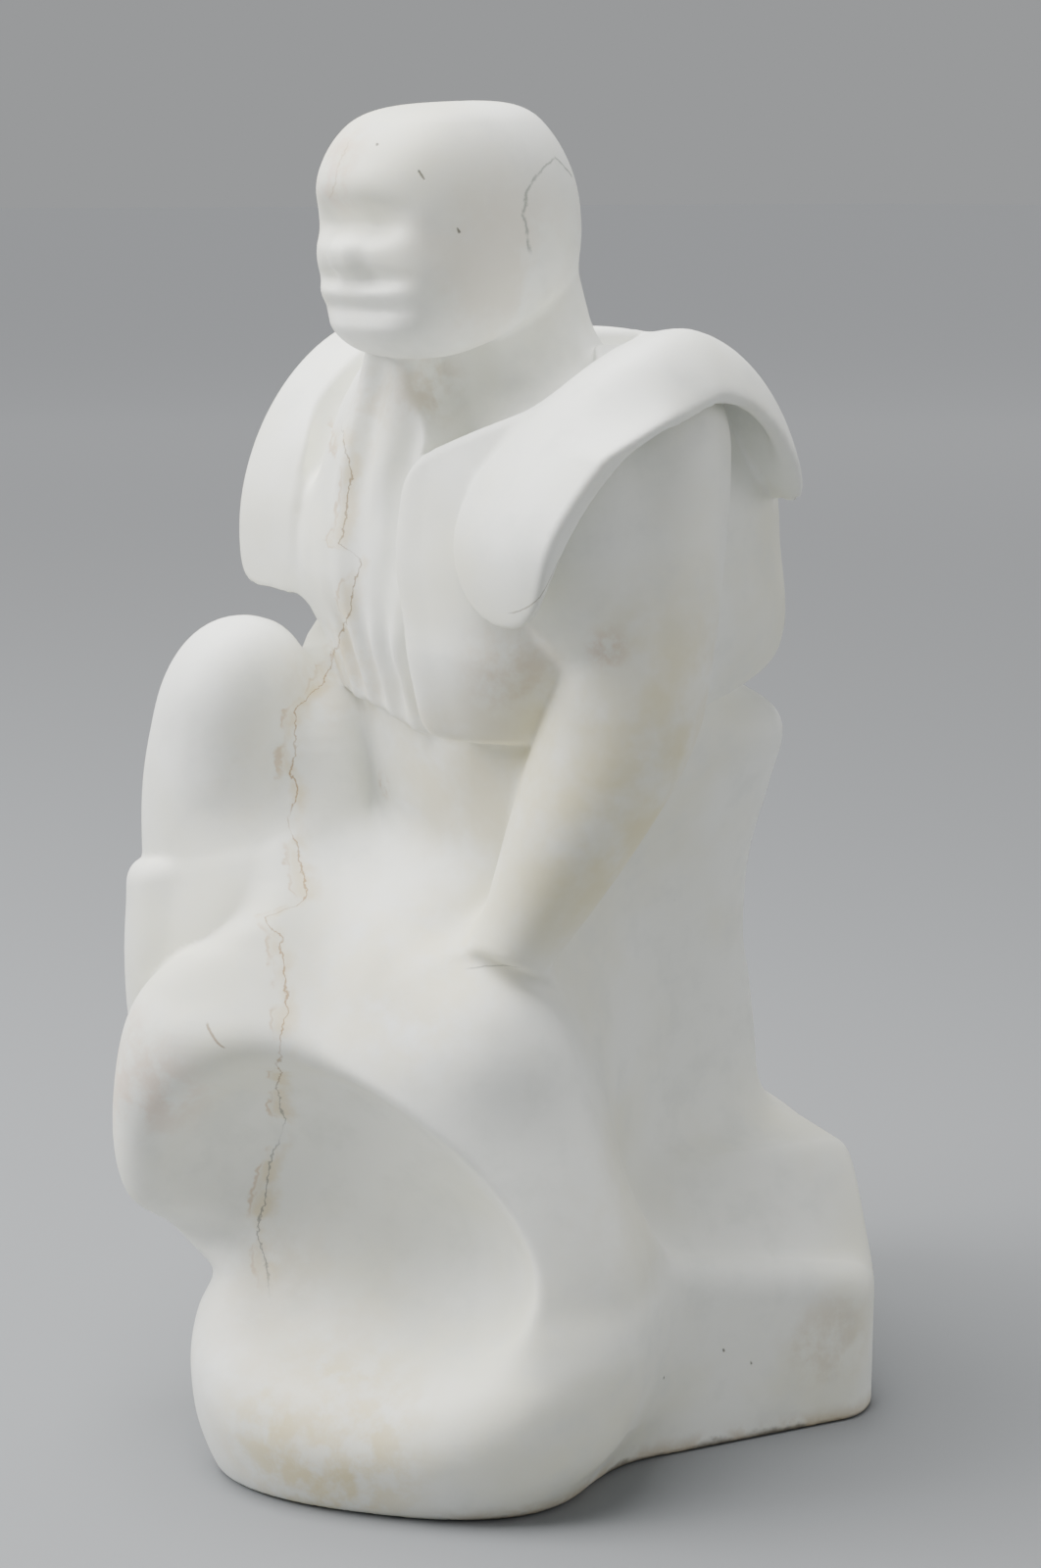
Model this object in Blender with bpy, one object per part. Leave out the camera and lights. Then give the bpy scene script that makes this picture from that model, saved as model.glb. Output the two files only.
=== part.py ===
"""Crouching soldier, carved in one piece from white marble.

The chest faces -Y, the figure's left is +X, and it stands on z = 0. The carving is drawn in
millimetres on a figure 563 mm tall, as masses of stone that run into each other, and scaled to
HEIGHT, so that every form is a share of the height.
"""

from math import cos, radians, sin

import bpy
import numpy as np
import openvdb

HEIGHT = 0.563  # crown of the head above the table, in metres
CROWN = 563.0  # the same height in the drawing's millimetres
GRAIN = 4.0  # spacing of the points at which the stone is tested
FACETS = 9000  # triangles left in the finished solid

BLOCK_LOW = (-170.0, -190.0, -12.0)  # corner of the rough block that the figure is cut from
BLOCK_HIGH = (170.0, 180.0, 572.0)


# How masses are made and joined. A field is the distance out of the stone, below 0 inside it.


def turned(p, middle, yaw=0.0, pitch=0.0, roll=0.0):
    """The points p as seen from a form: yaw about Z, then pitch about its X, then roll about its Y."""
    x, y, z = (a - m for a, m in zip(p, middle))
    c, s = cos(radians(yaw)), sin(radians(yaw))
    x, y = c * x + s * y, c * y - s * x
    c, s = cos(radians(pitch)), sin(radians(pitch))
    y, z = c * y + s * z, c * z - s * y
    c, s = cos(radians(roll)), sin(radians(roll))
    x, z = c * x - s * z, c * z + s * x
    return x, y, z


def egg(p, middle, half, power=2.0, **turn):
    """An ellipsoid of these half sizes. A power above 2 makes it boxier."""
    x, y, z = (np.abs(a) for a in turned(p, middle, **turn))
    a, b, c = half
    reach = ((x / a) ** power + (y / b) ** power + (z / c) ** power) ** (1 / power) + 1e-6
    span = np.sqrt(x * x + y * y + z * z) + 1e-6
    return span * (1 - 1 / reach)


def limb(p, start, end, start_radius, end_radius):
    """A round bar that tapers from one radius to the other."""
    start, end = np.array(start, np.float32), np.array(end, np.float32)
    along = end - start
    x, y, z = (a - s for a, s in zip(p, start))
    t = np.clip((x * along[0] + y * along[1] + z * along[2]) / (along @ along), 0, 1)
    across = np.sqrt((x - t * along[0]) ** 2 + (y - t * along[1]) ** 2 + (z - t * along[2]) ** 2)
    return across - (start_radius + t * (end_radius - start_radius))


def slab(p, middle, half, corner, **turn):
    """A box with rounded corners."""
    q = [np.abs(a) - h + corner for a, h in zip(turned(p, middle, **turn), half)]
    outside = np.sqrt(sum(np.maximum(a, 0) ** 2 for a in q))
    return outside + np.minimum(np.maximum(np.maximum(q[0], q[1]), q[2]), 0) - corner


def joined(a, b, run):
    """Both masses, run into each other over a fillet of that width."""
    h = np.clip(0.5 + 0.5 * (b - a) / run, 0, 1)
    return b + (a - b) * h - run * h * (1 - h)


def common(a, b, edge):
    """What lies in both, with the edge between them rounded."""
    return -joined(-a, -b, edge)


def cut(stone, tool, edge):
    """The stone without the tool's shape."""
    return common(stone, -tool, edge)


def plane(p, point, normal):
    """Flat face through the point: the stone is behind the normal."""
    normal = np.array(normal, np.float32) / np.linalg.norm(normal)
    return sum((a - c) * n for a, c, n in zip(p, point, normal))


def ramp(a, start, end):
    """Rises smoothly from 0 to 1 between start and end."""
    t = np.clip((a - start) / (end - start), 0, 1)
    return t * t * (3 - 2 * t)


def smooth_line(points, steps=6):
    """Points along a smooth curve through the given ones."""
    knots = np.array([points[0], *points, points[-1]], np.float32)
    line = []
    for a, b, c, d in zip(knots, knots[1:], knots[2:], knots[3:]):
        for t in np.arange(steps) / steps:
            line.append(b + t * (c - a) / 2 + t * t * (a - 2.5 * b + 2 * c - d / 2)
                        + t**3 * (1.5 * b - a / 2 - 1.5 * c + d / 2))
    return np.array([*line, knots[-1]], np.float32)


def loft(a, b, c, levels, power):
    """An upright mass whose plan changes with the height c.

    Each level is (height, low a, high a, low b, high b): the plan is a superellipse in that box,
    with its widest line across a at b = 0.
    """
    heights, *sides = smooth_line(levels).T
    left, right, behind, front = (np.interp(c, heights, side) for side in sides)
    a = a - (left + right) / 2
    half = (right - left) / 2
    depth = np.where(b > 0, front, -behind)
    reach = (np.abs(a / half) ** power + np.abs(b / depth) ** power) ** (1 / power) + 1e-6
    span = np.sqrt(a * a + b * b) + 1e-6
    ends = np.abs(c - (heights[0] + heights[-1]) / 2) - np.ptp(heights) / 2
    return common(span * (1 - 1 / reach), ends, 12)


FACE = (
    (455, 3), (464, 2), (474, 1), (479, 3), (483, 5.5), (487, 3), (490, 3), (494.5, 7), (500, 3), (507, 2.5),
    (514, 9), (519, 8), (526, 2), (532, 0), (540, 0),
)


def head(p):
    """A helmet of a head. The face is only bands: brow, eyes, nose and cheeks, lips, chin."""
    x, y, z = p
    skull = egg(p, (0, -29, 514), (43, 55, 52), 2.55 - 0.35 * ramp(y, -22, 14), pitch=5)
    jaw = egg(p, (0, -42, 489), (36, 37, 29), 2.6)
    mass = joined(skull, jaw, 12)
    mass = common(mass, plane(p, (0, -50, 460), (0, 0.4, -0.92)), 10)
    mass = common(mass, plane(p, (0, -28, 564.5), (0, -0.04, 1)), 10)
    band = smooth_line(FACE)
    depth = np.interp(z, band[:, 0], band[:, 1])
    nose = 3.5 * ramp(np.abs(x), 14, 3) * ramp(np.abs(z - 503), 13, 5)
    return mass + (depth * ramp(np.abs(x), 36, 12) - nose) * ramp(y, -38, -64)


def neck(p):
    return limb(p, (0, 8, 410), (0, -3, 492), 42, 31)


TORSO = (
    (290, -74, 66, -84, 84), (318, -80, 72, -90, 88), (344, -92, 84, -92, 91), (361, -106, 88, -91, 90),
    (383, -108, 87, -90, 87), (402, -102, 87, -87, 84), (420, -93, 84, -84, 81), (436, -82, 78, -80, 78),
    (450, -68, 68, -76, 72), (459, -56, 56, -75, 64), (468, -42, 40, -73, 54), (476, -24, 14, -56, 34),
)


def torso(p):
    x, y, z = p
    return loft(x, y - 25, z, TORSO, 2.8)


def neckline(p):
    """The space that the vest leaves open round the neck and the throat."""
    x, y, z = p
    rise = 0.1 * y + 0.18 * (y + 25 + np.sqrt((y + 25) ** 2 + 200))
    below = 0.9 * (z - 423 - 0.41 * np.sqrt(x * x + 60) - rise)
    width = 40 + 40 * ramp(y, 15, -15)
    return common(-below, np.abs(x) - width, 8)


def vest(p, outer):
    """Two halves of a thick vest over the body, the left half lapping over the right one."""
    x, y, z = p
    front = ramp(y, 30, 0)
    hem = 314 + 0.1 * y + 0.0016 * y * y + (9 * ramp(x, 24, -26) + 7 * ramp(x, -25, -75)) * front - z
    closed = -neckline(p)
    inside = x - 12.5 - 15 * ramp(z, 400, 318) - 3 * ramp(z, 415, 440)
    left = common(common(-inside - 120 * (1 - front), closed, 14), hem, 10)
    left = common(outer - (4 + 1.5 * ramp(inside, 16, 4)) * front, left, 4)
    spread = 14 + 8 * ramp(z, 340, 410)
    fold = np.cos(2 * np.pi * (x + 6 - 4 * ramp(z, 350, 322)) / spread) * ramp(x, -48, -24) * ramp(y, -10, -40)
    fold = fold * (0.8 + 1.6 * ramp(z, 395, 420) + 1.2 * ramp(z, 365, 340) * ramp(z, 316, 332))
    groove = 9 * ramp(z, 400, 438) * ramp(np.abs(x + 61), 14, 3) * ramp(z, 362, 385) * ramp(y, -20, -36)
    swell = 5 * ramp(x, -66, -50) * ramp(x, -4, -26) * ramp(z, 345, 375)
    sunk = 6 * ramp(x, -95, -60) * ramp(z, 368, 322) + 4 * ramp(inside, -16, -3) - swell
    collar = common(x - 12 + 12 * ramp(z, 428, 452), z - 470, 4)
    right = common(np.minimum(collar, closed), hem - 2, 3)
    right = common(outer + sunk * front + groove - fold, right, 3)
    return np.minimum(left, right)


def dome(p, side):
    """Top face of the slab over a shoulder: arched from front to back, crowned across."""
    x, y, z = turned((p[0] * side, p[1], p[2]), (92, 3, 386), pitch=-8)
    x = x + (3.5 + 3.5 * side) * ramp(y, -20, -60)
    fall = 0.04 - (0.017 + 0.017 * side) * ramp(z, 72, 36) * ramp(y, -5, -30)
    z = np.sqrt(z * z + 60)
    nothing = np.zeros_like(x)
    front = egg((nothing, y, z), (0, 0, 0), (60, 75, 91), 1.75 - 0.15 * side)
    back = egg((nothing, y, z), (0, 0, 0), (60, 75, 91), 1.9)
    return np.where(y < 0, front, back) + np.where(x > 0, fall, 0.004 + 0.006 * ramp(z, 20, 70)) * x * x


# Lower edge of a shoulder slab, as (y, height): a long lobe in front and a shorter one behind.
PAD_EDGE = ((-76, 360), (-66, 364), (-58, 379), (-43, 404), (-14, 427), (15, 442), (40, 436), (62, 418), (84, 394))


def pad(p, side):
    """The slab over one shoulder."""
    x, y, z = p[0] * side, *p[1:]
    edge = smooth_line(PAD_EDGE)
    low = 0.75 * (np.interp(y, edge[:, 0], edge[:, 1]) - z)
    inner = 54 - 8 * side + (10 + 2 * side) * ramp(y, -64, -46) - (14 - 4 * side) * ramp(y, -5, 20)
    outer = 107 + 14 * ramp(z, 376, 452)
    lobes = common(common(low, inner - x, 20 + 10 * side), x - outer, 24)
    top = dome(p, side)
    return common(lobes, common(top, -top - 11, 3), 3)


def shoulder(p, side):
    mass = egg(p, (side * 66, -14, 398), (42, 44, 58), 2.3)
    return common(mass, dome(p, side) + 16, 8)


# Each place on an arm is (x, y, height, radius), from the shoulder down.
ARMS = {
    1: ((82, 6, 410, 32), (84, 0, 362, 31), (82, -9, 318, 31), (75, -28, 272, 24.5), (62, -48, 223, 14)),
    -1: ((-84, 8, 410, 33), (-86, 14, 362, 29), (-76, -20, 328, 25), (-56, -57, 292, 22), (-50, -66, 245, 25),
         (-46, -70, 190, 25)),
}
CUFF = ((61, -48, 227), (-0.15, -0.35, -0.92))


def arm(p, side):
    x, y, z = p
    line = smooth_line(ARMS[side])[::-1]
    levels = line[:, 2]
    x, y = (a - np.interp(z, levels, line[:, i]) for i, a in enumerate((x, y)))
    lean = [np.interp(z, levels, np.gradient(line[:, i], levels)) for i in (0, 1)]
    along = (x * lean[0] + y * lean[1]) / (1 + lean[0] ** 2 + lean[1] ** 2)
    off = np.sqrt((x - along * lean[0]) ** 2 + (y - along * lean[1]) ** 2 + along**2)
    mass = off - np.interp(z, levels, line[:, 3])
    mass = common(mass, dome(p, side) + 17 - 200 * ramp(z, 385, 330), 14)
    end = plane(p, *CUFF) if side > 0 else 190 - z
    return common(mass, end, 3)


TRUNK = (
    (-12, -120, 44, -60, 134), (60, -112, 42, -60, 132), (130, -100, 40, -60, 132), (157, -92, 40, -60, 129),
    (183, -86, 40, -58, 124), (205, -84, 42, -54, 118), (241, -80, 47, -48, 116), (274, -80, 56, -44, 120),
    (300, -78, 66, -42, 119), (314, -74, 62, -40, 110), (325, -60, 48, -30, 90),
)


def trunk(p):
    x, y, z = p
    return loft(x, y, z, TRUNK, 5)


def belly(p):
    return egg(p, (0, 20, 305), (66, 72, 60), 2.5)


def block(p):
    x, y, z = turned(p, (10, 50, 0), yaw=-14.8)
    plan = slab((x, y, np.full_like(z, 0)), (-20, 4, 0), (102, 94, 60), 20)
    corner = plane((x, y, z), (79, 93, 0), (0.75, 0.66, 0))
    low = 90 - 0.2 * (y + 17)
    top = z - low - (116 - low) * ramp(x, 72, 40)
    return common(common(plan, corner, 10), top * 0.8, 12)


def knee(p):
    top = egg(p, (-77, -88, 298), (32, 36, 56), 2.2, roll=12)
    shin = egg(p, (-77, -86, 200), (37, 42, 100), 2.6)
    thigh = limb(p, (-76, -50, 255), (-44, 30, 270), 30, 44)
    calf = egg(p, (-47, -93, 213), (31, 33, 50))
    foot = egg(p, (-66, -44, 40), (34, 48, 66), 2.4, yaw=30)
    return joined(joined(joined(joined(top, shin, 30), thigh, 14), calf, 26), foot, 30)


def layers(p, mass):
    edge = plane(p, (-90, -120, 251), (-0.25, -0.1, 1))
    return common(mass - 8 * ramp(p[0], -56, -84), edge, 10)


SHIELD = (18, -80, 0)
SHIELD_YAW = 38
SHIELD_LEVELS = (
    (-12, -67, 80, -60, 38), (6, -75, 88, -60, 50), (25, -81, 103, -60, 56), (46, -83, 111, -60, 57),
    (64, -83, 115, -60, 54), (78, -82, 115, -60, 49), (90, -100, 113, -60, 46), (106, -112, 110, -60, 44),
    (132, -117, 100, -60, 42), (162, -116, 88, -60, 38), (188, -111, 74, -60, 32), (205, -102, 57, -60, 22),
    (219, -86, 35, -60, 15), (228, -66, 14, -60, 11), (238, -48, -2, -60, 10), (250, -40, -16, -50, 10),
)


def shield(p):
    """The scooped disc in front: the whole disc, the scoop, and how sharp the scoop's edge is."""
    s, d, z = turned(p, SHIELD, yaw=SHIELD_YAW)
    d = -d
    q = (s, d, z)
    mass = loft(s, d, z, SHIELD_LEVELS, 2.4)
    mass = common(mass, plane(q, (0, 2, 214), (0, 0.66, 0.75)) - 28 * ramp(s, -15, -85), 20)
    bowl = egg(q, (-33, 58, 121), (78, 72, 69))
    bowl = joined(bowl, egg(q, (18, 62, 100), (58, 80, 46)), 26)
    dish = egg(q, (-8, 68, 102), (74, 66, 42), 2.2, pitch=-45)
    spill = egg(q, (-95, 54, 92), (46, 56, 17))
    hollow = joined(joined(bowl, dish, 24), spill, 26)
    edge = 5 + 22 * np.maximum(ramp(s, 5, -60), ramp(z, 92, 62))
    return mass, hollow, edge


def lap(p):
    return egg(p, (-16, -28, 165), (82, 80, 96))


def statue(p):
    outer = torso(p)
    under = 14 - 5 * np.maximum(ramp(p[2], 400, 430), ramp(p[0], 20, -20) * ramp(p[2], 335, 360))
    core = common(outer + under, -neckline(p) + 2, 10)
    core = joined(core, trunk(p), 12)
    core = joined(core, belly(p), 10)
    core = joined(core, neck(p), 26)
    core = cut(core, egg(p, (19, -40, 448), (17, 18, 27)), 9)
    for side in (-1, 1):
        core = joined(core, shoulder(p, side), 16)
        core = joined(core, arm(p, side), 6)
    core = joined(core, vest(p, outer), 2)
    core = joined(core, pad(p, -1), 18)
    core = joined(core, block(p), 22)
    leg = knee(p)
    leg = joined(leg, layers(p, leg), 2)
    core = joined(core, leg, 14)
    core = joined(core, lap(p), 30 - 14 * ramp(p[2], 232, 292))
    core = joined(core, egg(p, (51, -53, 194), (32, 28, 29)), 14)
    mass, hollow, edge = shield(p)
    s = turned(p, SHIELD, yaw=SHIELD_YAW)[0]
    core = joined(core, mass, 4 + 26 * ramp(s, -84, -40))
    core = cut(core, hollow, edge)
    core = joined(core, pad(p, 1), 4)
    core = joined(core, head(p), 3)
    return common(core, plane(p, (0, 0, 0), (0, 0, -1)), 3)


def carved(field, grain):
    """The surface of the stone as a closed mesh of quads: its points, in the drawing's millimetres, and faces."""
    axes = [np.arange(low, high + grain, grain, np.float32) for low, high in zip(BLOCK_LOW, BLOCK_HIGH)]
    layers = [
        field(np.meshgrid(axes[0], axes[1], axes[2][i : i + 8], indexing="ij"))
        for i in range(0, len(axes[2]), 8)
    ]
    grid = openvdb.FloatGrid()
    grid.copyFromArray(np.concatenate(layers, axis=2))
    points, quads = grid.convertToQuads()
    return points * grain + BLOCK_LOW, quads


def stone():
    """White marble, cut and rubbed smooth."""
    material = bpy.data.materials.new("white marble")
    material.use_nodes = True
    shader = material.node_tree.nodes["Principled BSDF"]
    shader.inputs["Base Color"].default_value = (0.80, 0.79, 0.75, 1.0)
    shader.inputs["Roughness"].default_value = 0.45
    shader.inputs["Metallic"].default_value = 0.0
    return material


def main():
    for old in list(bpy.data.objects):
        bpy.data.objects.remove(old)
    points, quads = carved(statue, GRAIN)
    middle = (points.max(axis=0) + points.min(axis=0)) / 2
    points -= (middle[0], middle[1], points[:, 2].min())
    mesh = bpy.data.meshes.new("figure")
    mesh.from_pydata((points * (HEIGHT / CROWN)).tolist(), [], quads.tolist())
    mesh.materials.append(stone())
    figure = bpy.data.objects.new("figure", mesh)
    bpy.context.scene.collection.objects.link(figure)
    coarser = figure.modifiers.new("coarser", "DECIMATE")
    coarser.ratio = FACETS / (2 * len(quads))


if __name__ == "__main__":
    main()
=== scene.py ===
from math import cos, radians, sin

import bpy
import numpy as np
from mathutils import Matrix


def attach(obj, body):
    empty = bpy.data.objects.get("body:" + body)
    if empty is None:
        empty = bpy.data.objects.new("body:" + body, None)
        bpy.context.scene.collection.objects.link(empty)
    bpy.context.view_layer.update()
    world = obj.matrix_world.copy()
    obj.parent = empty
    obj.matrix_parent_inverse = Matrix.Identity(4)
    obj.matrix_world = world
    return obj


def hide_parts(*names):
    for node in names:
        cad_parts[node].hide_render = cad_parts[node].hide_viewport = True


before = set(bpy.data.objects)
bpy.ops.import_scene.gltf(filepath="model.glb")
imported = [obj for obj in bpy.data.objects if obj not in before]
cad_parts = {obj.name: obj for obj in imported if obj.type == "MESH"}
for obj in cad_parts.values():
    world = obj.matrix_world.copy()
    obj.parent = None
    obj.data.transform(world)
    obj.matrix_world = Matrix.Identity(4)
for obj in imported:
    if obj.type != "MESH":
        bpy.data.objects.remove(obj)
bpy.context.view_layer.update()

import openvdb

# The head.
# A helmet-like mass on a heavy jaw, cut flat on top. Its face is only soft bands, with no eyes: brow, nose
# and cheeks, lips and chin. All masses are drawn in millimetres on a figure 563 mm tall, chest to -Y, as
# fields: the distance out of the stone, below 0 inside it.


def turned(p, middle, yaw=0.0, pitch=0.0, roll=0.0):
    """The points p as seen from a form: yaw about Z, then pitch about its X, then roll about its Y."""
    x, y, z = (a - m for a, m in zip(p, middle))
    c, s = cos(radians(yaw)), sin(radians(yaw))
    x, y = c * x + s * y, c * y - s * x
    c, s = cos(radians(pitch)), sin(radians(pitch))
    y, z = c * y + s * z, c * z - s * y
    c, s = cos(radians(roll)), sin(radians(roll))
    x, z = c * x - s * z, c * z + s * x
    return x, y, z


def egg(p, middle, half, power=2.0, **turn):
    """An ellipsoid of these half sizes. A power above 2 makes it boxier."""
    x, y, z = (np.abs(a) for a in turned(p, middle, **turn))
    a, b, c = half
    reach = ((x / a) ** power + (y / b) ** power + (z / c) ** power) ** (1 / power) + 1e-6
    span = np.sqrt(x * x + y * y + z * z) + 1e-6
    return span * (1 - 1 / reach)


def joined(a, b, run):
    """Both masses, run into each other over a fillet of that width."""
    h = np.clip(0.5 + 0.5 * (b - a) / run, 0, 1)
    return b + (a - b) * h - run * h * (1 - h)


def common(a, b, edge):
    """What lies in both, with the edge between them rounded."""
    return -joined(-a, -b, edge)


def plane(p, point, normal):
    """Flat face through the point: the stone is behind the normal."""
    normal = np.array(normal, np.float32) / np.linalg.norm(normal)
    return sum((a - c) * n for a, c, n in zip(p, point, normal))


def ramp(a, start, end):
    """Rises smoothly from 0 to 1 between start and end."""
    t = np.clip((a - start) / (end - start), 0, 1)
    return t * t * (3 - 2 * t)


def smooth_line(points, steps=6):
    """Points along a smooth curve through the given ones."""
    knots = np.array([points[0], *points, points[-1]], np.float32)
    line = []
    for a, b, c, d in zip(knots, knots[1:], knots[2:], knots[3:]):
        for t in np.arange(steps) / steps:
            line.append(b + t * (c - a) / 2 + t * t * (a - 2.5 * b + 2 * c - d / 2)
                        + t**3 * (1.5 * b - a / 2 - 1.5 * c + d / 2))
    return np.array([*line, knots[-1]], np.float32)


# The face's bands from the throat up, as (height, how deep the band is cut).
FACE = (
    (455, 3), (464, 2), (474, 1), (479, 3), (483, 5.5), (487, 3), (490, 3), (494.5, 7), (500, 3), (507, 2.5),
    (514, 9), (519, 8), (526, 2), (532, 0), (540, 0),
)


def head(p):
    """A helmet of a head. The face is only bands: brow, eyes, nose and cheeks, lips, chin."""
    x, y, z = p
    skull = egg(p, (0, -29, 514), (43, 55, 52), 2.55 - 0.35 * ramp(y, -22, 14), pitch=5)
    jaw = egg(p, (0, -42, 489), (36, 37, 29), 2.6)
    mass = joined(skull, jaw, 12)
    mass = common(mass, plane(p, (0, -50, 460), (0, 0.4, -0.92)), 10)
    mass = common(mass, plane(p, (0, -28, 564.5), (0, -0.04, 1)), 10)
    band = smooth_line(FACE)
    depth = np.interp(z, band[:, 0], band[:, 1])
    nose = 3.5 * ramp(np.abs(x), 14, 3) * ramp(np.abs(z - 503), 13, 5)
    return mass + (depth * ramp(np.abs(x), 36, 12) - nose) * ramp(y, -38, -64)


# The neck.
# A thick plain bar that leans forward out of the open collar and is lost under the jaw.


def limb(p, start, end, start_radius, end_radius):
    """A round bar that tapers from one radius to the other."""
    start, end = np.array(start, np.float32), np.array(end, np.float32)
    along = end - start
    x, y, z = (a - s for a, s in zip(p, start))
    t = np.clip((x * along[0] + y * along[1] + z * along[2]) / (along @ along), 0, 1)
    across = np.sqrt((x - t * along[0]) ** 2 + (y - t * along[1]) ** 2 + (z - t * along[2]) ** 2)
    return across - (start_radius + t * (end_radius - start_radius))


def neck(p):
    return limb(p, (0, 8, 410), (0, -3, 492), 42, 31)


# The vest.
# A thick body vest cut as two halves over the chest. The figure's left half laps over the right one with a
# rounded lapel; the right half hangs in soft flutes. It is open round the neck and ends in a curved hem.


def loft(a, b, c, levels, power):
    """An upright mass whose plan changes with the height c.

    Each level is (height, low a, high a, low b, high b): the plan is a superellipse in that box,
    with its widest line across a at b = 0.
    """
    heights, *sides = smooth_line(levels).T
    left, right, behind, front = (np.interp(c, heights, side) for side in sides)
    a = a - (left + right) / 2
    half = (right - left) / 2
    depth = np.where(b > 0, front, -behind)
    reach = (np.abs(a / half) ** power + np.abs(b / depth) ** power) ** (1 / power) + 1e-6
    span = np.sqrt(a * a + b * b) + 1e-6
    ends = np.abs(c - (heights[0] + heights[-1]) / 2) - np.ptp(heights) / 2
    return common(span * (1 - 1 / reach), ends, 12)


TORSO = (
    (290, -74, 66, -84, 84), (318, -80, 72, -90, 88), (344, -92, 84, -92, 91), (361, -106, 88, -91, 90),
    (383, -108, 87, -90, 87), (402, -102, 87, -87, 84), (420, -93, 84, -84, 81), (436, -82, 78, -80, 78),
    (450, -68, 68, -76, 72), (459, -56, 56, -75, 64), (468, -42, 40, -73, 54), (476, -24, 14, -56, 34),
)


def torso(p):
    x, y, z = p
    return loft(x, y - 25, z, TORSO, 2.8)


def neckline(p):
    """The space that the vest leaves open round the neck and the throat."""
    x, y, z = p
    rise = 0.1 * y + 0.18 * (y + 25 + np.sqrt((y + 25) ** 2 + 200))
    below = 0.9 * (z - 423 - 0.41 * np.sqrt(x * x + 60) - rise)
    width = 40 + 40 * ramp(y, 15, -15)
    return common(-below, np.abs(x) - width, 8)


def vest(p, outer):
    """Two halves of a thick vest over the body, the left half lapping over the right one."""
    x, y, z = p
    front = ramp(y, 30, 0)
    hem = 314 + 0.1 * y + 0.0016 * y * y + (9 * ramp(x, 24, -26) + 7 * ramp(x, -25, -75)) * front - z
    closed = -neckline(p)
    inside = x - 12.5 - 15 * ramp(z, 400, 318) - 3 * ramp(z, 415, 440)
    left = common(common(-inside - 120 * (1 - front), closed, 14), hem, 10)
    left = common(outer - (4 + 1.5 * ramp(inside, 16, 4)) * front, left, 4)
    spread = 14 + 8 * ramp(z, 340, 410)
    fold = np.cos(2 * np.pi * (x + 6 - 4 * ramp(z, 350, 322)) / spread)
    fold = fold * ramp(x, -48, -24) * ramp(y, -10, -40)
    fold = fold * (0.8 + 1.6 * ramp(z, 395, 420) + 1.2 * ramp(z, 365, 340) * ramp(z, 316, 332))
    groove = 9 * ramp(z, 400, 438) * ramp(np.abs(x + 61), 14, 3) * ramp(z, 362, 385) * ramp(y, -20, -36)
    swell = 5 * ramp(x, -66, -50) * ramp(x, -4, -26) * ramp(z, 345, 375)
    sunk = 6 * ramp(x, -95, -60) * ramp(z, 368, 322) + 4 * ramp(inside, -16, -3) - swell
    collar = common(x - 12 + 12 * ramp(z, 428, 452), z - 470, 4)
    right = common(np.minimum(collar, closed), hem - 2, 3)
    right = common(outer + sunk * front + groove - fold, right, 3)
    return np.minimum(left, right)


# The slabs over the shoulders.
# One thick arched slab lies over each shoulder, like armour, with a long rounded lobe in front, a shorter
# one behind and a flat face along its lower edge. All of it is cut from the same stone as the body.


def dome(p, side):
    """Top face of the slab over a shoulder: arched from front to back, crowned across."""
    x, y, z = turned((p[0] * side, p[1], p[2]), (92, 3, 386), pitch=-8)
    x = x + (3.5 + 3.5 * side) * ramp(y, -20, -60)
    fall = 0.04 - (0.017 + 0.017 * side) * ramp(z, 72, 36) * ramp(y, -5, -30)
    z = np.sqrt(z * z + 60)
    nothing = np.zeros_like(x)
    front = egg((nothing, y, z), (0, 0, 0), (60, 75, 91), 1.75 - 0.15 * side)
    back = egg((nothing, y, z), (0, 0, 0), (60, 75, 91), 1.9)
    return np.where(y < 0, front, back) + np.where(x > 0, fall, 0.004 + 0.006 * ramp(z, 20, 70)) * x * x


PAD_THICK = 11  # thickness of a slab, in mm

# Lower edge of a slab, as (y, height): a long lobe in front and a shorter one behind.
PAD_EDGE = (
    (-76, 360), (-66, 364), (-58, 379), (-43, 404), (-14, 427), (15, 442), (40, 436), (62, 418), (84, 394),
)


def pad(p, side):
    """The slab over one shoulder."""
    x, y, z = p[0] * side, *p[1:]
    edge = smooth_line(PAD_EDGE)
    low = 0.75 * (np.interp(y, edge[:, 0], edge[:, 1]) - z)
    inner = 54 - 8 * side + (10 + 2 * side) * ramp(y, -64, -46) - (14 - 4 * side) * ramp(y, -5, 20)
    outer = 107 + 14 * ramp(z, 376, 452)
    lobes = common(common(low, inner - x, 20 + 10 * side), x - outer, 24)
    top = dome(p, side)
    return common(lobes, common(top, -top - PAD_THICK, 3), 3)


# The arms.
# The figure's left arm comes down bare from under its slab and ends in a plain cut cuff on the lap. The
# right one is lost behind the knee. Each place on an arm is (x, y, height, radius), from the shoulder down.

ARMS = {
    1: ((82, 6, 410, 32), (84, 0, 362, 31), (82, -9, 318, 31), (75, -28, 272, 24.5), (62, -48, 223, 14)),
    -1: ((-84, 8, 410, 33), (-86, 14, 362, 29), (-76, -20, 328, 25), (-56, -57, 292, 22), (-50, -66, 245, 25),
         (-46, -70, 190, 25)),
}
CUFF = ((61, -48, 227), (-0.15, -0.35, -0.92))


def shoulder(p, side):
    mass = egg(p, (side * 66, -14, 398), (42, 44, 58), 2.3)
    return common(mass, dome(p, side) + 16, 8)


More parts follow.
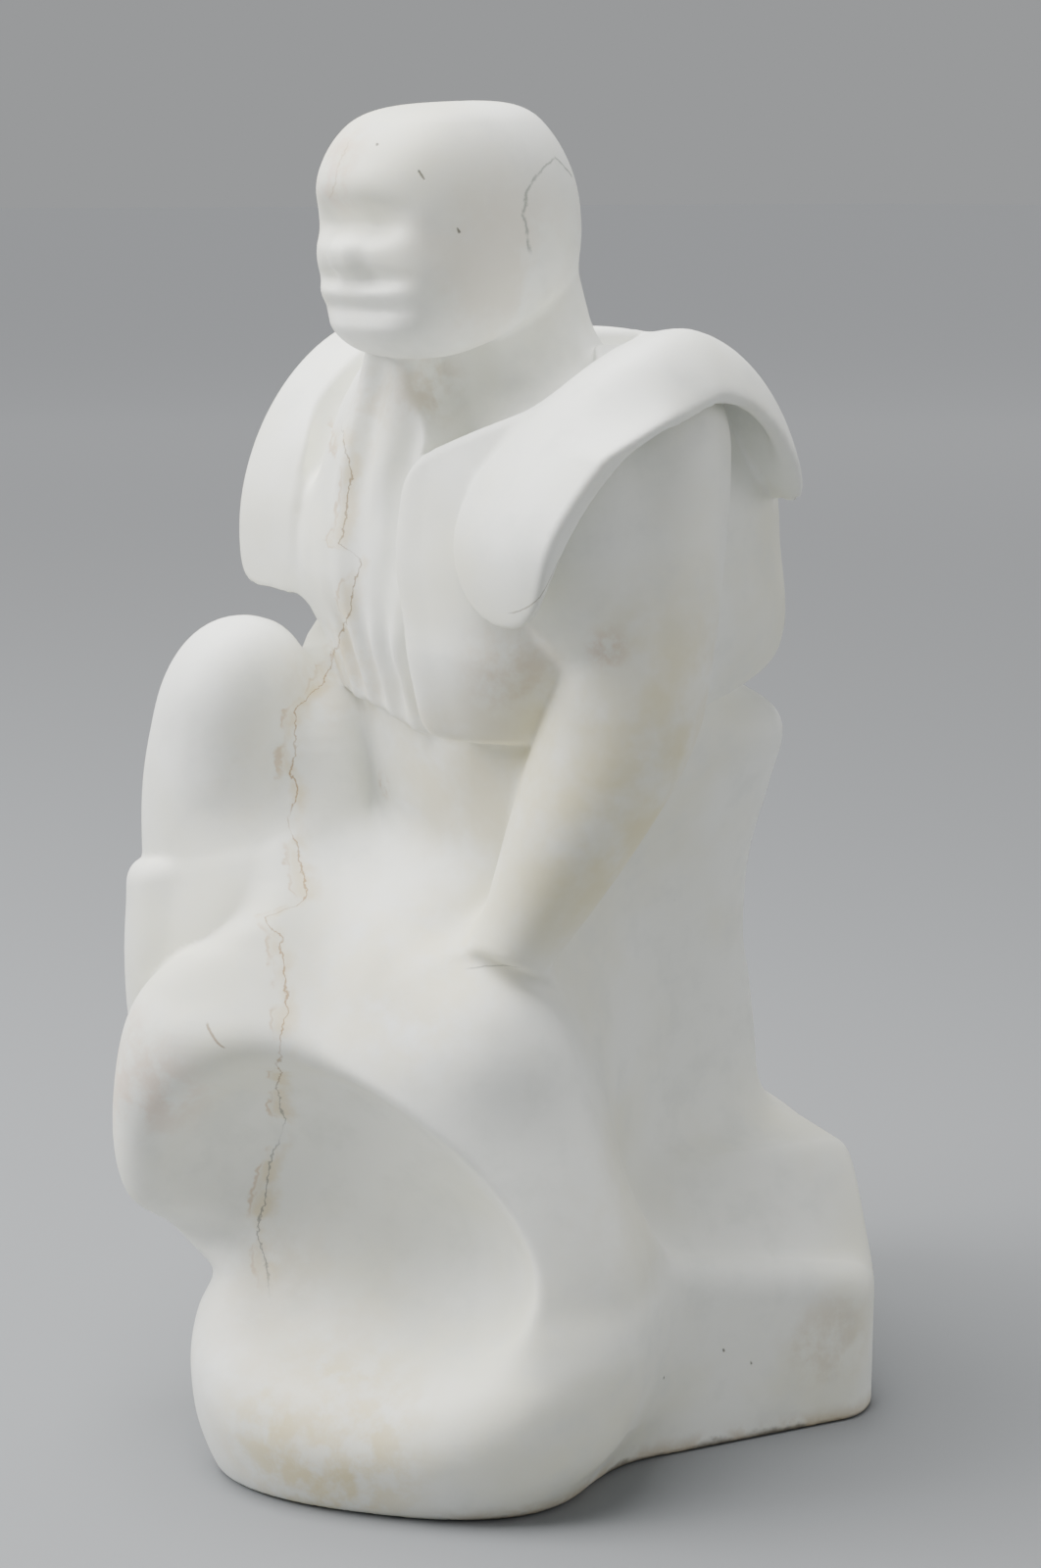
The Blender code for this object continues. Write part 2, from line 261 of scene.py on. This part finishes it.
def arm(p, side):
    x, y, z = p
    line = smooth_line(ARMS[side])[::-1]
    levels = line[:, 2]
    x, y = (a - np.interp(z, levels, line[:, i]) for i, a in enumerate((x, y)))
    lean = [np.interp(z, levels, np.gradient(line[:, i], levels)) for i in (0, 1)]
    along = (x * lean[0] + y * lean[1]) / (1 + lean[0] ** 2 + lean[1] ** 2)
    off = np.sqrt((x - along * lean[0]) ** 2 + (y - along * lean[1]) ** 2 + along**2)
    mass = off - np.interp(z, levels, line[:, 3])
    mass = common(mass, dome(p, side) + 17 - 200 * ramp(z, 385, 330), 14)
    end = plane(p, *CUFF) if side > 0 else 190 - z
    return common(mass, end, 3)


# The trunk and the block.
# From the hem down the back and the side are one plain upright mass, with a soft belly under the vest. It
# stands on a low block with rounded corners, set askew, whose top rises towards the trunk.

TRUNK = (
    (-12, -120, 44, -60, 134), (60, -112, 42, -60, 132), (130, -100, 40, -60, 132), (157, -92, 40, -60, 129),
    (183, -86, 40, -58, 124), (205, -84, 42, -54, 118), (241, -80, 47, -48, 116), (274, -80, 56, -44, 120),
    (300, -78, 66, -42, 119), (314, -74, 62, -40, 110), (325, -60, 48, -30, 90),
)


def trunk(p):
    x, y, z = p
    return loft(x, y, z, TRUNK, 5)


def belly(p):
    return egg(p, (0, 20, 305), (66, 72, 60), 2.5)


def slab(p, middle, half, corner, **turn):
    """A box with rounded corners."""
    q = [np.abs(a) - h + corner for a, h in zip(turned(p, middle, **turn), half)]
    outside = np.sqrt(sum(np.maximum(a, 0) ** 2 for a in q))
    return outside + np.minimum(np.maximum(np.maximum(q[0], q[1]), q[2]), 0) - corner


def block(p):
    x, y, z = turned(p, (10, 50, 0), yaw=-14.8)
    plan = slab((x, y, np.full_like(z, 0)), (-20, 4, 0), (102, 94, 60), 20)
    corner = plane((x, y, z), (79, 93, 0), (0.75, 0.66, 0))
    low = 90 - 0.2 * (y + 17)
    top = z - low - (116 - low) * ramp(x, 72, 40)
    return common(common(plan, corner, 10), top * 0.8, 12)


# The raised leg and the lap.
# The right knee stands up in front with two thick layers of cloth or plate falling over the shin. A soft
# lap fills the space between the knee, the belly and the shield.


def knee(p):
    top = egg(p, (-77, -88, 298), (32, 36, 56), 2.2, roll=12)
    shin = egg(p, (-77, -86, 200), (37, 42, 100), 2.6)
    thigh = limb(p, (-76, -50, 255), (-44, 30, 270), 30, 44)
    calf = egg(p, (-47, -93, 213), (31, 33, 50))
    foot = egg(p, (-66, -44, 40), (34, 48, 66), 2.4, yaw=30)
    return joined(joined(joined(joined(top, shin, 30), thigh, 14), calf, 26), foot, 30)


def layers(p, mass):
    edge = plane(p, (-90, -120, 251), (-0.25, -0.1, 1))
    return common(mass - 8 * ramp(p[0], -56, -84), edge, 10)


def lap(p):
    return egg(p, (-16, -28, 165), (82, 80, 96))


# The shield.
# A heavy round disc stands in front, turned to the figure's left. Its face is scooped out into a bowl that
# spills over the rim on the far side; the near rim is crisp and the bottom one is a thick soft roll.

SHIELD = (18, -80, 0)
SHIELD_YAW = 38
SHIELD_LEVELS = (
    (-12, -67, 80, -60, 38), (6, -75, 88, -60, 50), (25, -81, 103, -60, 56), (46, -83, 111, -60, 57),
    (64, -83, 115, -60, 54), (78, -82, 115, -60, 49), (90, -100, 113, -60, 46), (106, -112, 110, -60, 44),
    (132, -117, 100, -60, 42), (162, -116, 88, -60, 38), (188, -111, 74, -60, 32), (205, -102, 57, -60, 22),
    (219, -86, 35, -60, 15), (228, -66, 14, -60, 11), (238, -48, -2, -60, 10), (250, -40, -16, -50, 10),
)


def shield(p):
    """The scooped disc in front: the whole disc, the scoop, and how sharp the scoop's edge is."""
    s, d, z = turned(p, SHIELD, yaw=SHIELD_YAW)
    d = -d
    q = (s, d, z)
    mass = loft(s, d, z, SHIELD_LEVELS, 2.4)
    mass = common(mass, plane(q, (0, 2, 214), (0, 0.66, 0.75)) - 28 * ramp(s, -15, -85), 20)
    bowl = egg(q, (-33, 58, 121), (78, 72, 69))
    bowl = joined(bowl, egg(q, (18, 62, 100), (58, 80, 46)), 26)
    dish = egg(q, (-8, 68, 102), (74, 66, 42), 2.2, pitch=-45)
    spill = egg(q, (-95, 54, 92), (46, 56, 17))
    hollow = joined(joined(bowl, dish, 24), spill, 26)
    edge = 5 + 22 * np.maximum(ramp(s, 5, -60), ramp(z, 92, 62))
    return mass, hollow, edge


# The whole figure in one stone.
# The masses run into each other with soft fillets, as they do where one block of marble is cut down and
# rubbed smooth. It is cut to a fine mesh of points, and stands flat on the table.


def statue(p):
    outer = torso(p)
    under = 14 - 5 * np.maximum(ramp(p[2], 400, 430), ramp(p[0], 20, -20) * ramp(p[2], 335, 360))
    core = common(outer + under, -neckline(p) + 2, 10)
    core = joined(core, trunk(p), 12)
    core = joined(core, belly(p), 10)
    core = joined(core, neck(p), 26)
    core = common(core, -egg(p, (19, -40, 448), (17, 18, 27)), 9)
    for side in (-1, 1):
        core = joined(core, shoulder(p, side), 16)
        core = joined(core, arm(p, side), 6)
    core = joined(core, vest(p, outer), 2)
    core = joined(core, pad(p, -1), 18)
    core = joined(core, block(p), 22)
    leg = knee(p)
    leg = joined(leg, layers(p, leg), 2)
    core = joined(core, leg, 14)
    core = joined(core, lap(p), 30 - 14 * ramp(p[2], 232, 292))
    core = joined(core, egg(p, (51, -53, 194), (32, 28, 29)), 14)
    mass, hollow, edge = shield(p)
    s = turned(p, SHIELD, yaw=SHIELD_YAW)[0]
    core = joined(core, mass, 4 + 26 * ramp(s, -84, -40))
    core = common(core, -hollow, edge)
    core = joined(core, pad(p, 1), 4)
    core = joined(core, head(p), 3)
    return common(core, plane(p, (0, 0, 0), (0, 0, -1)), 3)


GRAIN = 2.0  # spacing of the points at which the stone is tested, in mm
ROUGHING = 4  # the first rough test is this many times coarser
BLOCK_LOW = np.array((-138.0, -170.0, -10.0), np.float32)  # corners of the rough block
BLOCK_HIGH = np.array((130.0, 182.0, 574.0), np.float32)
FACETS = 190000  # triangles left in the finished mesh


def carved():
    """The surface of the stone as points, in the drawing's millimetres, and faces of four."""
    step = GRAIN * ROUGHING
    rough = [np.arange(low, high + step, step, np.float32) for low, high in zip(BLOCK_LOW, BLOCK_HIGH)]
    test = statue(np.meshgrid(*rough, indexing="ij")).astype(np.float32)
    cells = [test[i : i - 1 or None, j : j - 1 or None, k : k - 1 or None]
             for i in (0, 1) for j in (0, 1) for k in (0, 1)]
    lowest, highest = np.minimum.reduce(cells), np.maximum.reduce(cells)
    near = (lowest < 1.5 * step) & (highest > -1.5 * step)
    fine = np.repeat(cells[0][..., None], ROUGHING**3, axis=3)
    inner = np.indices((ROUGHING,) * 3).reshape(3, 1, -1) * GRAIN
    corners = [axis[index][:, None] for axis, index in zip(rough, np.nonzero(near))]
    found = [
        statue([corner[i : i + 8000] + offset.astype(np.float32) for corner, offset in zip(corners, inner)])
        for i in range(0, len(corners[0]), 8000)
    ]
    fine[near] = np.concatenate(found)
    a, b, c = near.shape
    fine = fine.reshape(a, b, c, ROUGHING, ROUGHING, ROUGHING).transpose(0, 3, 1, 4, 2, 5)
    grid = openvdb.FloatGrid()
    grid.copyFromArray(np.ascontiguousarray(fine.reshape(a * ROUGHING, b * ROUGHING, c * ROUGHING)))
    points, quads = grid.convertToQuads()
    return points * GRAIN + BLOCK_LOW, quads


def thinned(mesh, facets):
    """The same mesh with fewer triangles, most of them kept where the surface bends."""
    whole = bpy.data.objects.new("whole", mesh)
    bpy.context.scene.collection.objects.link(whole)
    whole.modifiers.new("thin", "DECIMATE").ratio = facets / (2 * len(mesh.polygons))
    evaluated = whole.evaluated_get(bpy.context.evaluated_depsgraph_get())
    thin = bpy.data.meshes.new_from_object(evaluated)
    bpy.data.objects.remove(whole)
    return thin


def slope(points):
    """The field and the way it rises at each point, by small steps to either side."""
    columns = [a[:, None] for a in points.T]
    rise = []
    for axis in range(3):
        ahead = [a + 0.8 * (i == axis) for i, a in enumerate(columns)]
        behind = [a - 0.8 * (i == axis) for i, a in enumerate(columns)]
        rise.append((statue(ahead) - statue(behind))[:, 0] / 1.6)
    return statue(columns)[:, 0], np.stack(rise, axis=1)


points, quads = carved()
low, high = points.min(axis=0), points.max(axis=0)
footing = np.array(((low[0] + high[0]) / 2, (low[1] + high[1]) / 2, low[2]))

mesh = bpy.data.meshes.new("figure_marble")
mesh.from_pydata(points.tolist(), [], quads.tolist())
mesh = thinned(mesh, FACETS)
points = np.empty(3 * len(mesh.vertices), np.float32)
mesh.vertices.foreach_get("co", points)
points = points.reshape(-1, 3)
depth, rise = slope(points)
steep = np.sqrt((rise * rise).sum(axis=1)) + 1e-6
outward = rise / steep[:, None]
points -= outward * np.clip(depth / steep, -0.5, 0.5)[:, None]
points = (points - footing) / 1000.0
mesh.vertices.foreach_set("co", points.ravel())
mesh.shade_smooth()
mesh.normals_split_custom_set_from_vertices(outward.tolist())
mesh.name = "figure_marble"
figure = bpy.data.objects.new("figure_marble", mesh)
bpy.context.scene.collection.objects.link(figure)

# The marble.
# White statuary marble, sawn, cut and rubbed to a satin finish with fine abrasive. The eye sees a cool
# white that turns creamy in broad clouds, with faint stains where dirt and iron have gathered.


def linear(hex_colour):
    """An sRGB colour such as "F0EDE6" as the linear values that a shader takes."""
    values = [int(hex_colour[i : i + 2], 16) / 255 for i in (0, 2, 4)]
    return (*[v / 12.92 if v <= 0.04045 else ((v + 0.055) / 1.055) ** 2.4 for v in values], 1.0)


marble = bpy.data.materials.new("white statuary marble")
marble.use_nodes = True
tree = marble.node_tree
shader = tree.nodes["Principled BSDF"]


def add(kind, inputs, output=0, **settings):
    """Add a node to the tree, link or set its inputs in order or by name, and give one output."""
    node = tree.nodes.new("ShaderNode" + kind)
    for name, value in settings.items():
        setattr(node, name, value)
    for name, value in inputs.items() if isinstance(inputs, dict) else enumerate(inputs):
        if isinstance(value, bpy.types.NodeSocket):
            tree.links.new(value, node.inputs[name])
        else:
            node.inputs[name].default_value = value
    return node.outputs[output]


def product(*values):
    """All of the values multiplied."""
    total = values[0]
    for value in values[1:]:
        total = add("Math", (total, value), operation="MULTIPLY")
    return total


def fade(value, full, none):
    """1 where the value is at full, falling smoothly to 0 at none."""
    return add("MapRange", (value, full, none, 1.0, 0.0), interpolation_type="SMOOTHSTEP")


def clouds(place, size, detail=3.0, roughness=0.5, start=(0.0, 0.0, 0.0)):
    """Even noise about 0.5, with patches of that size in metres."""
    moved = add("VectorMath", (place, start), operation="ADD")
    return add("TexNoise", {"Vector": moved, "Scale": 1 / size, "Detail": detail, "Roughness": roughness})


def swung(value, noise, swing):
    """The value moved to either side as the noise goes, by half of that swing at most."""
    off = add("Math", (noise, 0.5), operation="SUBTRACT")
    return add("Math", (off, swing, value), operation="MULTIPLY_ADD")


def tinted(colour, tint, *amounts):
    """The colour turned towards a tint by the product of the amounts."""
    return add("Mix", {0: product(*amounts), 6: colour, 7: linear(tint)}, output=2, data_type="RGBA")


place = add("TexCoord", (), output="Object")
x, y, z = add("SeparateXYZ", (place,)).node.outputs

# Broad clouds between cool white and cream, and a fainter mottling.
broad = clouds(place, 0.11, 4.0)
mottle = clouds(place, 0.022, 5.0, 0.6, (3.1, 0.4, 7.7))
colour = tinted(linear("F2F3EC"), "EAE9D8", fade(broad, 0.66, 0.42))
colour = tinted(colour, "E1E3DC", fade(mottle, 0.72, 0.45), 0.5)

# Stains in the stone, as (place in mm, reach in mm, tint, strength, size of its patches in mm).
STAINS = (
    ((100, -40, 290), 84, "DDD3A6", 0.7, 40), ((60, -52, 262), 60, "E2DCBC", 0.5, 30),
    ((25, -60, 290), 60, "DBD5BC", 0.5, 30), ((42, -84, 214), 55, "E4DAB0", 0.5, 20),
    ((45, -135, 36), 62, "DACA96", 0.75, 12), ((-8, -125, 84), 34, "CFC9B2", 0.45, 12),
    ((95, -20, 120), 60, "E0DCC8", 0.35, 26), ((71, -56, 343), 30, "CDB795", 0.5, 16),
    ((1, -47, 449), 24, "C2AE8E", 0.5, 12), ((-19, -54, 283), 8, "B58E62", 0.6, 5),
    ((104, -34, 356), 12, "D0B090", 0.45, 6), ((-45, -160, 170), 40, "D9BBA2", 0.5, 14),
    ((-2, -86, 538), 26, "DCC0AC", 0.45, 9), ((109, 88, 40), 30, "C4B292", 0.4, 14),
    ((-25, -70, 330), 34, "DCCDAA", 0.5, 12), ((-15, -60, 440), 26, "D3C4A4", 0.4, 9),
    ((45, -42, 500), 55, "E3DCCB", 0.7, 34), ((118, -16, 330), 70, "DDD4AC", 0.6, 40),
    ((-30, -104, 290), 40, "EEE8D2", 0.4, 26), ((30, -60, 300), 55, "E0D8BC", 0.6, 22),
    ((10, -120, 60), 70, "E6DFCA", 0.6, 26), ((20, -90, 215), 60, "EFEAD2", 0.6, 24),
)
for middle, reach, tint, strength, patch in STAINS:
    middle = tuple(v / 1000 for v in middle)
    off = add("VectorMath", (place, middle), output="Value", operation="DISTANCE")
    patches = clouds(place, patch / 1000, 4.0, 0.6, middle)
    near = fade(off, reach / 4000, reach / 1000)
    colour = tinted(colour, tint, near, fade(patches, 0.62, 0.36), strength)

# The vein.
# One thin vein, ochre from iron, wanders down the front from the brow to the scoop. It is an upright sheet
# that stands askew in the stone, with a fainter strand beside it, and it turns grey in the scoop.


def across(off, full, none):
    """1 where a place lies off a sheet by less than full, falling to 0 at none, on both sides of it."""
    return fade(add("Math", (off,), operation="ABSOLUTE"), full, none)


# How far each place lies along a line that runs to the figure's left and back.
LEFTWARD = (0.616, 0.788)
left = add("Math", (y, LEFTWARD[1]), operation="MULTIPLY")
left = add("Math", (x, LEFTWARD[0], left), operation="MULTIPLY_ADD")
TALL = 563.0  # height of the figure, in mm
LEAST, SPAN = -0.15, 0.2  # a sheet's curve holds places from -150 to 50 mm as 0 to 1


def beside(sheet, swings):
    """How far each place lies past a sheet that wanders by these (patch, swing) in metres.

    The sheet is drawn as (height, how far along the line it stands) in mm.
    """
    course = add("FloatCurve", {"Value": add("Math", (z, TALL / 1000), operation="DIVIDE")})
    curve = course.node.mapping.curves[0]
    while len(curve.points) < len(sheet):
        curve.points.new(0.5, 0.5)
    for point, (level, along) in zip(curve.points, sheet):
        point.location = (level / TALL, (along / 1000 - LEAST) / SPAN)
        point.handle_type = "VECTOR"
    course.node.mapping.update()
    lies = add("Math", (course, SPAN, LEAST), operation="MULTIPLY_ADD")
    for size, swing in swings:
        lies = swung(lies, clouds(place, size, 4.0, 0.65, (0.2, 0.9, size)), swing)
    return add("Math", (left, lies), operation="SUBTRACT")


VEIN = (
    (75, -102), (94, -108), (122, -102.5), (144, -96), (164, -97), (185, -94), (208, -91.5), (232, -94),
    (237, -103.5), (243, -83), (272, -93), (282, -89), (290, -92), (317, -90), (324, -80), (359, -67),
    (367, -65), (382, -61.5), (386, -72), (395, -68), (416, -65), (423, -67), (440, -72), (525, -71),
    (537, -67), (548, -62),
)
BROW = 0.536  # height of the short piece of vein on the brow, in metres
aside = beside(VEIN, ((0.016, 0.009), (0.004, 0.0035)))
patches = clouds(place, 0.02, 3.0, 0.6, (5.0, 2.0, 1.0))
on_brow = across(add("Math", (z, BROW), operation="SUBTRACT"), 0.008, 0.013)
on_trunk = product(fade(z, 0.428, 0.436), fade(z, 0.085, 0.07))
within = add("Math", (product(on_brow, 0.45), on_trunk), operation="MAXIMUM")
within = product(within, fade(y, -0.02, 0.02))
second = add("Math", (patches, 0.3), operation="SUBTRACT")
second = add("Math", (second, 0.02, aside), operation="MULTIPLY_ADD")
colour = tinted(colour, "D9C38C", across(aside, 0.001, 0.008), fade(patches, 0.62, 0.4), 0.5, within)
colour = tinted(colour, "B98E4C", across(second, 0.0002, 0.0014), fade(patches, 0.6, 0.45), 0.45, within)
ochre = tinted(linear("9E7638"), "84847C", fade(z, 0.15, 0.19))
ochre = tinted(ochre, "8A6F48", fade(z, 0.36, 0.33), fade(z, 0.45, 0.5))
line = product(across(aside, 0.0001, 0.0006), fade(patches, 0.5, 0.28), 0.75, within)
colour = add("Mix", {0: line, 6: colour, 7: ochre}, output=2, data_type="RGBA")

# The cracks and nicks, and a painted crease shade.
# A grey crack climbs the left side of the head to a peak and turns down behind. Hairlines mark the lobe of
# the left slab and the shield. A grey line along the cuff's edge is painted shade in the crease there.
# A few small dark nicks are scattered over the stone.

CRACK = ((504, 7.5), (519, 5), (528.7, 6.5), (534.7, 10.5), (540.8, 17))
CRACK_FALL = 0.504  # how steeply it falls behind its peak
CRACK_RISE = 0.53561  # height at which that part would cross the middle of the figure, in metres
bend = clouds(place, 0.006, 4.0, 0.7, (1.4, 0.3, 0.8))
climb = across(beside(CRACK, ((0.006, 0.004),)), 0.0001, 0.0011)
climb = product(climb, fade(z, 0.507, 0.503), fade(z, 0.5395, 0.5415))
behind = add("Math", (y, CRACK_FALL, z), operation="MULTIPLY_ADD")
behind = add("Math", (swung(behind, bend, 0.003), CRACK_RISE), operation="SUBTRACT")
behind = product(across(behind, 0.0001, 0.0009), fade(y, 0.002, 0.004), fade(y, -0.010, -0.011))
crack = add("Math", (climb, behind), operation="MAXIMUM")
colour = tinted(colour, "8B9187", crack, fade(x, 0.03, 0.022), fade(bend, 0.5, 0.3), 0.75)

# Hairlines, and one painted crease shade at the cuff, each where a plane meets the surface: (place, normal,
# reach in mm, half width in mm, tint).
HAIRLINES_AND_CUFF_SHADE = (
    ((103, -66, 388), (-0.157, -0.848, 0.506), 22, 0.3, "A09A8A"),
    # This line along the cuff's edge is painted shade in the crease where the forearm's cut end meets the
    # lap, not a crack.
    ((64, -54, 226), (0.1, 0.1, -0.99), 18, 0.4, "A3A196"),
    ((-11, -143, 193), (0.8, -0.2, 0.55), 7, 0.5, "A08C72"),
)
for middle, normal, reach, half_width, tint in HAIRLINES_AND_CUFF_SHADE:
    middle = tuple(v / 1000 for v in middle)
    away = add("VectorMath", (place, middle), operation="SUBTRACT")
    off = add("VectorMath", (away, normal), output="Value", operation="DOT_PRODUCT")
    hairline_and_cuff_shade = across(swung(off, mottle, 0.003), half_width / 3000, half_width / 1000)
    far = add("VectorMath", (away,), output="Value", operation="LENGTH")
    colour = tinted(colour, tint, hairline_and_cuff_shade, fade(far, reach / 1250, reach / 1000), 0.8)

# Nicks, short and slanting, as (place in mm, half length in mm).
NICKS = (
    ((20, -81, 545.6), 0.9), ((38, -73, 533.8), 2.1), ((45, -61, 513.3), 1.3), ((49, 49, 232), 1.4),
    ((56, 65, 265), 1.0), ((109, 86, 61), 1.6), ((101, 51, 36), 1.0), ((98, 38, 44), 0.8), ((95, 7, 39), 1.1),
    ((101, -22, 20), 0.9), ((30, -118, 132), 0.8), ((60, -110, 96), 0.9), ((88, -70, 372), 0.9),
    ((-19, -54, 283), 1.0),
)
SLANT = (0.40, 0.35, -0.85)  # the way that the nicks run
nicks = 0.0
for middle, half_length in NICKS:
    middle = tuple(v / 1000 for v in middle)
    away = add("VectorMath", (place, middle), operation="SUBTRACT")
    far = add("VectorMath", (away,), output="Value", operation="LENGTH")
    crossed = add("VectorMath", (away, SLANT), operation="CROSS_PRODUCT")
    off = add("VectorMath", (crossed,), output="Value", operation="LENGTH")
    thin = fade(swung(off, bend, 0.0012), 0.0002, 0.0007)
    nick = product(thin, fade(far, half_length / 1250, half_length / 800))
    nicks = add("Math", (nicks, nick), operation="MAXIMUM")
colour = tinted(colour, "5F5A4E", nicks, 0.8)

# The finish.
# Dirt is rubbed into the foot of the block, a thin dark line under a wider brown stain. The stone is sanded
# by hand, neither glossy nor quite even, and lets light a few millimetres in, the red a little further.

grime = clouds(place, 0.018, 4.0, 0.6, (0.7, 3.3, 0.2))
foot = swung(z, grime, 0.014)
at_block = fade(left, 0.0, -0.05)
colour = tinted(colour, "A98F62", fade(foot, 0.001, 0.011), fade(grime, 0.6, 0.35), 0.65, at_block)
colour = tinted(colour, "5C4A2C", fade(foot, -0.0005, 0.0035), 0.8, at_block)
tree.links.new(colour, shader.inputs["Base Color"])

# Fine sanding marks run slantwise, drawn 1 mm apart so that they show.
combed = add("Mapping", {"Vector": place, "Rotation": (0.4, 0.9, 0.3), "Scale": (1.0, 0.08, 1.0)})
marks = clouds(combed, 0.0012, 2.0)
rough = add("Math", (mottle, 0.16, 0.40), operation="MULTIPLY_ADD")
rough = add("Math", (marks, 0.08, rough), operation="MULTIPLY_ADD")
tree.links.new(rough, shader.inputs["Roughness"])

# The rubbed surface waves by up to 0.6 mm, the sanding marks are 0.03 mm deep and the nicks 0.4 mm.
waves = clouds(place, 0.03, 1.0, 0.4, (9.0, 1.0, 4.0))
relief = add("Math", (waves, 0.0006, product(marks, 0.00003)), operation="MULTIPLY_ADD")
relief = add("Math", (relief, product(nicks, 0.0004)), operation="SUBTRACT")
bump = add("Bump", {"Height": relief, "Distance": 1.0, "Strength": 1.0})
tree.links.new(bump, shader.inputs["Normal"])

shader.inputs["IOR"].default_value = 1.5
shader.inputs["Subsurface Weight"].default_value = 0.08
shader.inputs["Subsurface Radius"].default_value = (1.0, 0.85, 0.65)
shader.inputs["Subsurface Scale"].default_value = 0.003
mesh.materials.clear()
mesh.materials.append(marble)
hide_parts("figure")
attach(figure, "root")

# The room.
# A plain pale floor runs back into the grey of the room. As the camera sees it, a broad soft light hangs
# overhead, a weaker one stands to the left and a faint one low on the right, and the air is bright all round.

FLOOR_HALF = 60.0  # half the width of the floor, in metres
floor_mesh = bpy.data.meshes.new("floor")
corners = [(a * FLOOR_HALF, b * FLOOR_HALF, 0) for a, b in ((-1, -1), (1, -1), (1, 1), (-1, 1))]
floor_mesh.from_pydata(corners, [], [(0, 1, 2, 3)])
floor = bpy.data.objects.new("floor", floor_mesh)
bpy.context.scene.collection.objects.link(floor)
card = bpy.data.materials.new("pale grey card")
card.use_nodes = True
tree = card.node_tree
far = add("VectorMath", (add("TexCoord", (), output="Object"),), output="Value", operation="LENGTH")
grey = tinted(linear("EEEFF1"), "828486", fade(far, 0.7, 5.5))
tree.links.new(grey, tree.nodes["Principled BSDF"].inputs["Base Color"])
tree.nodes["Principled BSDF"].inputs["Roughness"].default_value = 0.9
floor_mesh.materials.append(card)

room = bpy.data.worlds.new("studio")
room.use_nodes = True
tree = room.node_tree
up = add("SeparateXYZ", (add("TexCoord", (), output="Generated"),), output="Z")
air = tinted(linear("F0F2F4"), "E2E4E6", fade(up, 0.05, 0.7))
tree.links.new(air, tree.nodes["Background"].inputs["Color"])
tree.nodes["Background"].inputs["Strength"].default_value = 0.46
bpy.context.scene.world = room

VIEW = radians(52.0)  # how far the camera stands round to the figure's left, from straight in front
AIM = np.array((0.0, 0.0, 0.25))  # the place inside the figure that the lights are turned to


def softbox(name, right, away, height, width, watts):
    """A square soft light turned to the figure, placed as the camera sees it: to the right, away, and up."""
    lamp = bpy.data.lights.new(name, "AREA")
    lamp.shape = "SQUARE"
    lamp.size = width
    lamp.energy = watts
    holder = bpy.data.objects.new(name, lamp)
    bpy.context.scene.collection.objects.link(holder)
    spot = np.array((cos(VIEW) * right - sin(VIEW) * away, sin(VIEW) * right + cos(VIEW) * away, height))
    holder.location = spot
    beam = AIM - spot
    tilt = np.arctan2(np.hypot(beam[0], beam[1]), -beam[2])
    holder.rotation_euler = (tilt, 0, np.arctan2(-beam[0], beam[1]))


softbox("key", -0.5, 0.0, 2.1, 1.6, 97)
softbox("left", -1.9, -0.2, 1.45, 1.1, 46)
softbox("right", 2.0, 0.0, 0.6, 1.6, 9)

camera = bpy.data.objects.new("camera", bpy.data.cameras.new("camera"))
bpy.context.scene.collection.objects.link(camera)
camera.data.lens = 63.0
camera.data.sensor_width = 36.0
camera.location = (0.9064, -0.7036, 0.53)
camera.rotation_euler = (radians(77.7), 0.0, VIEW)
bpy.context.scene.camera = camera
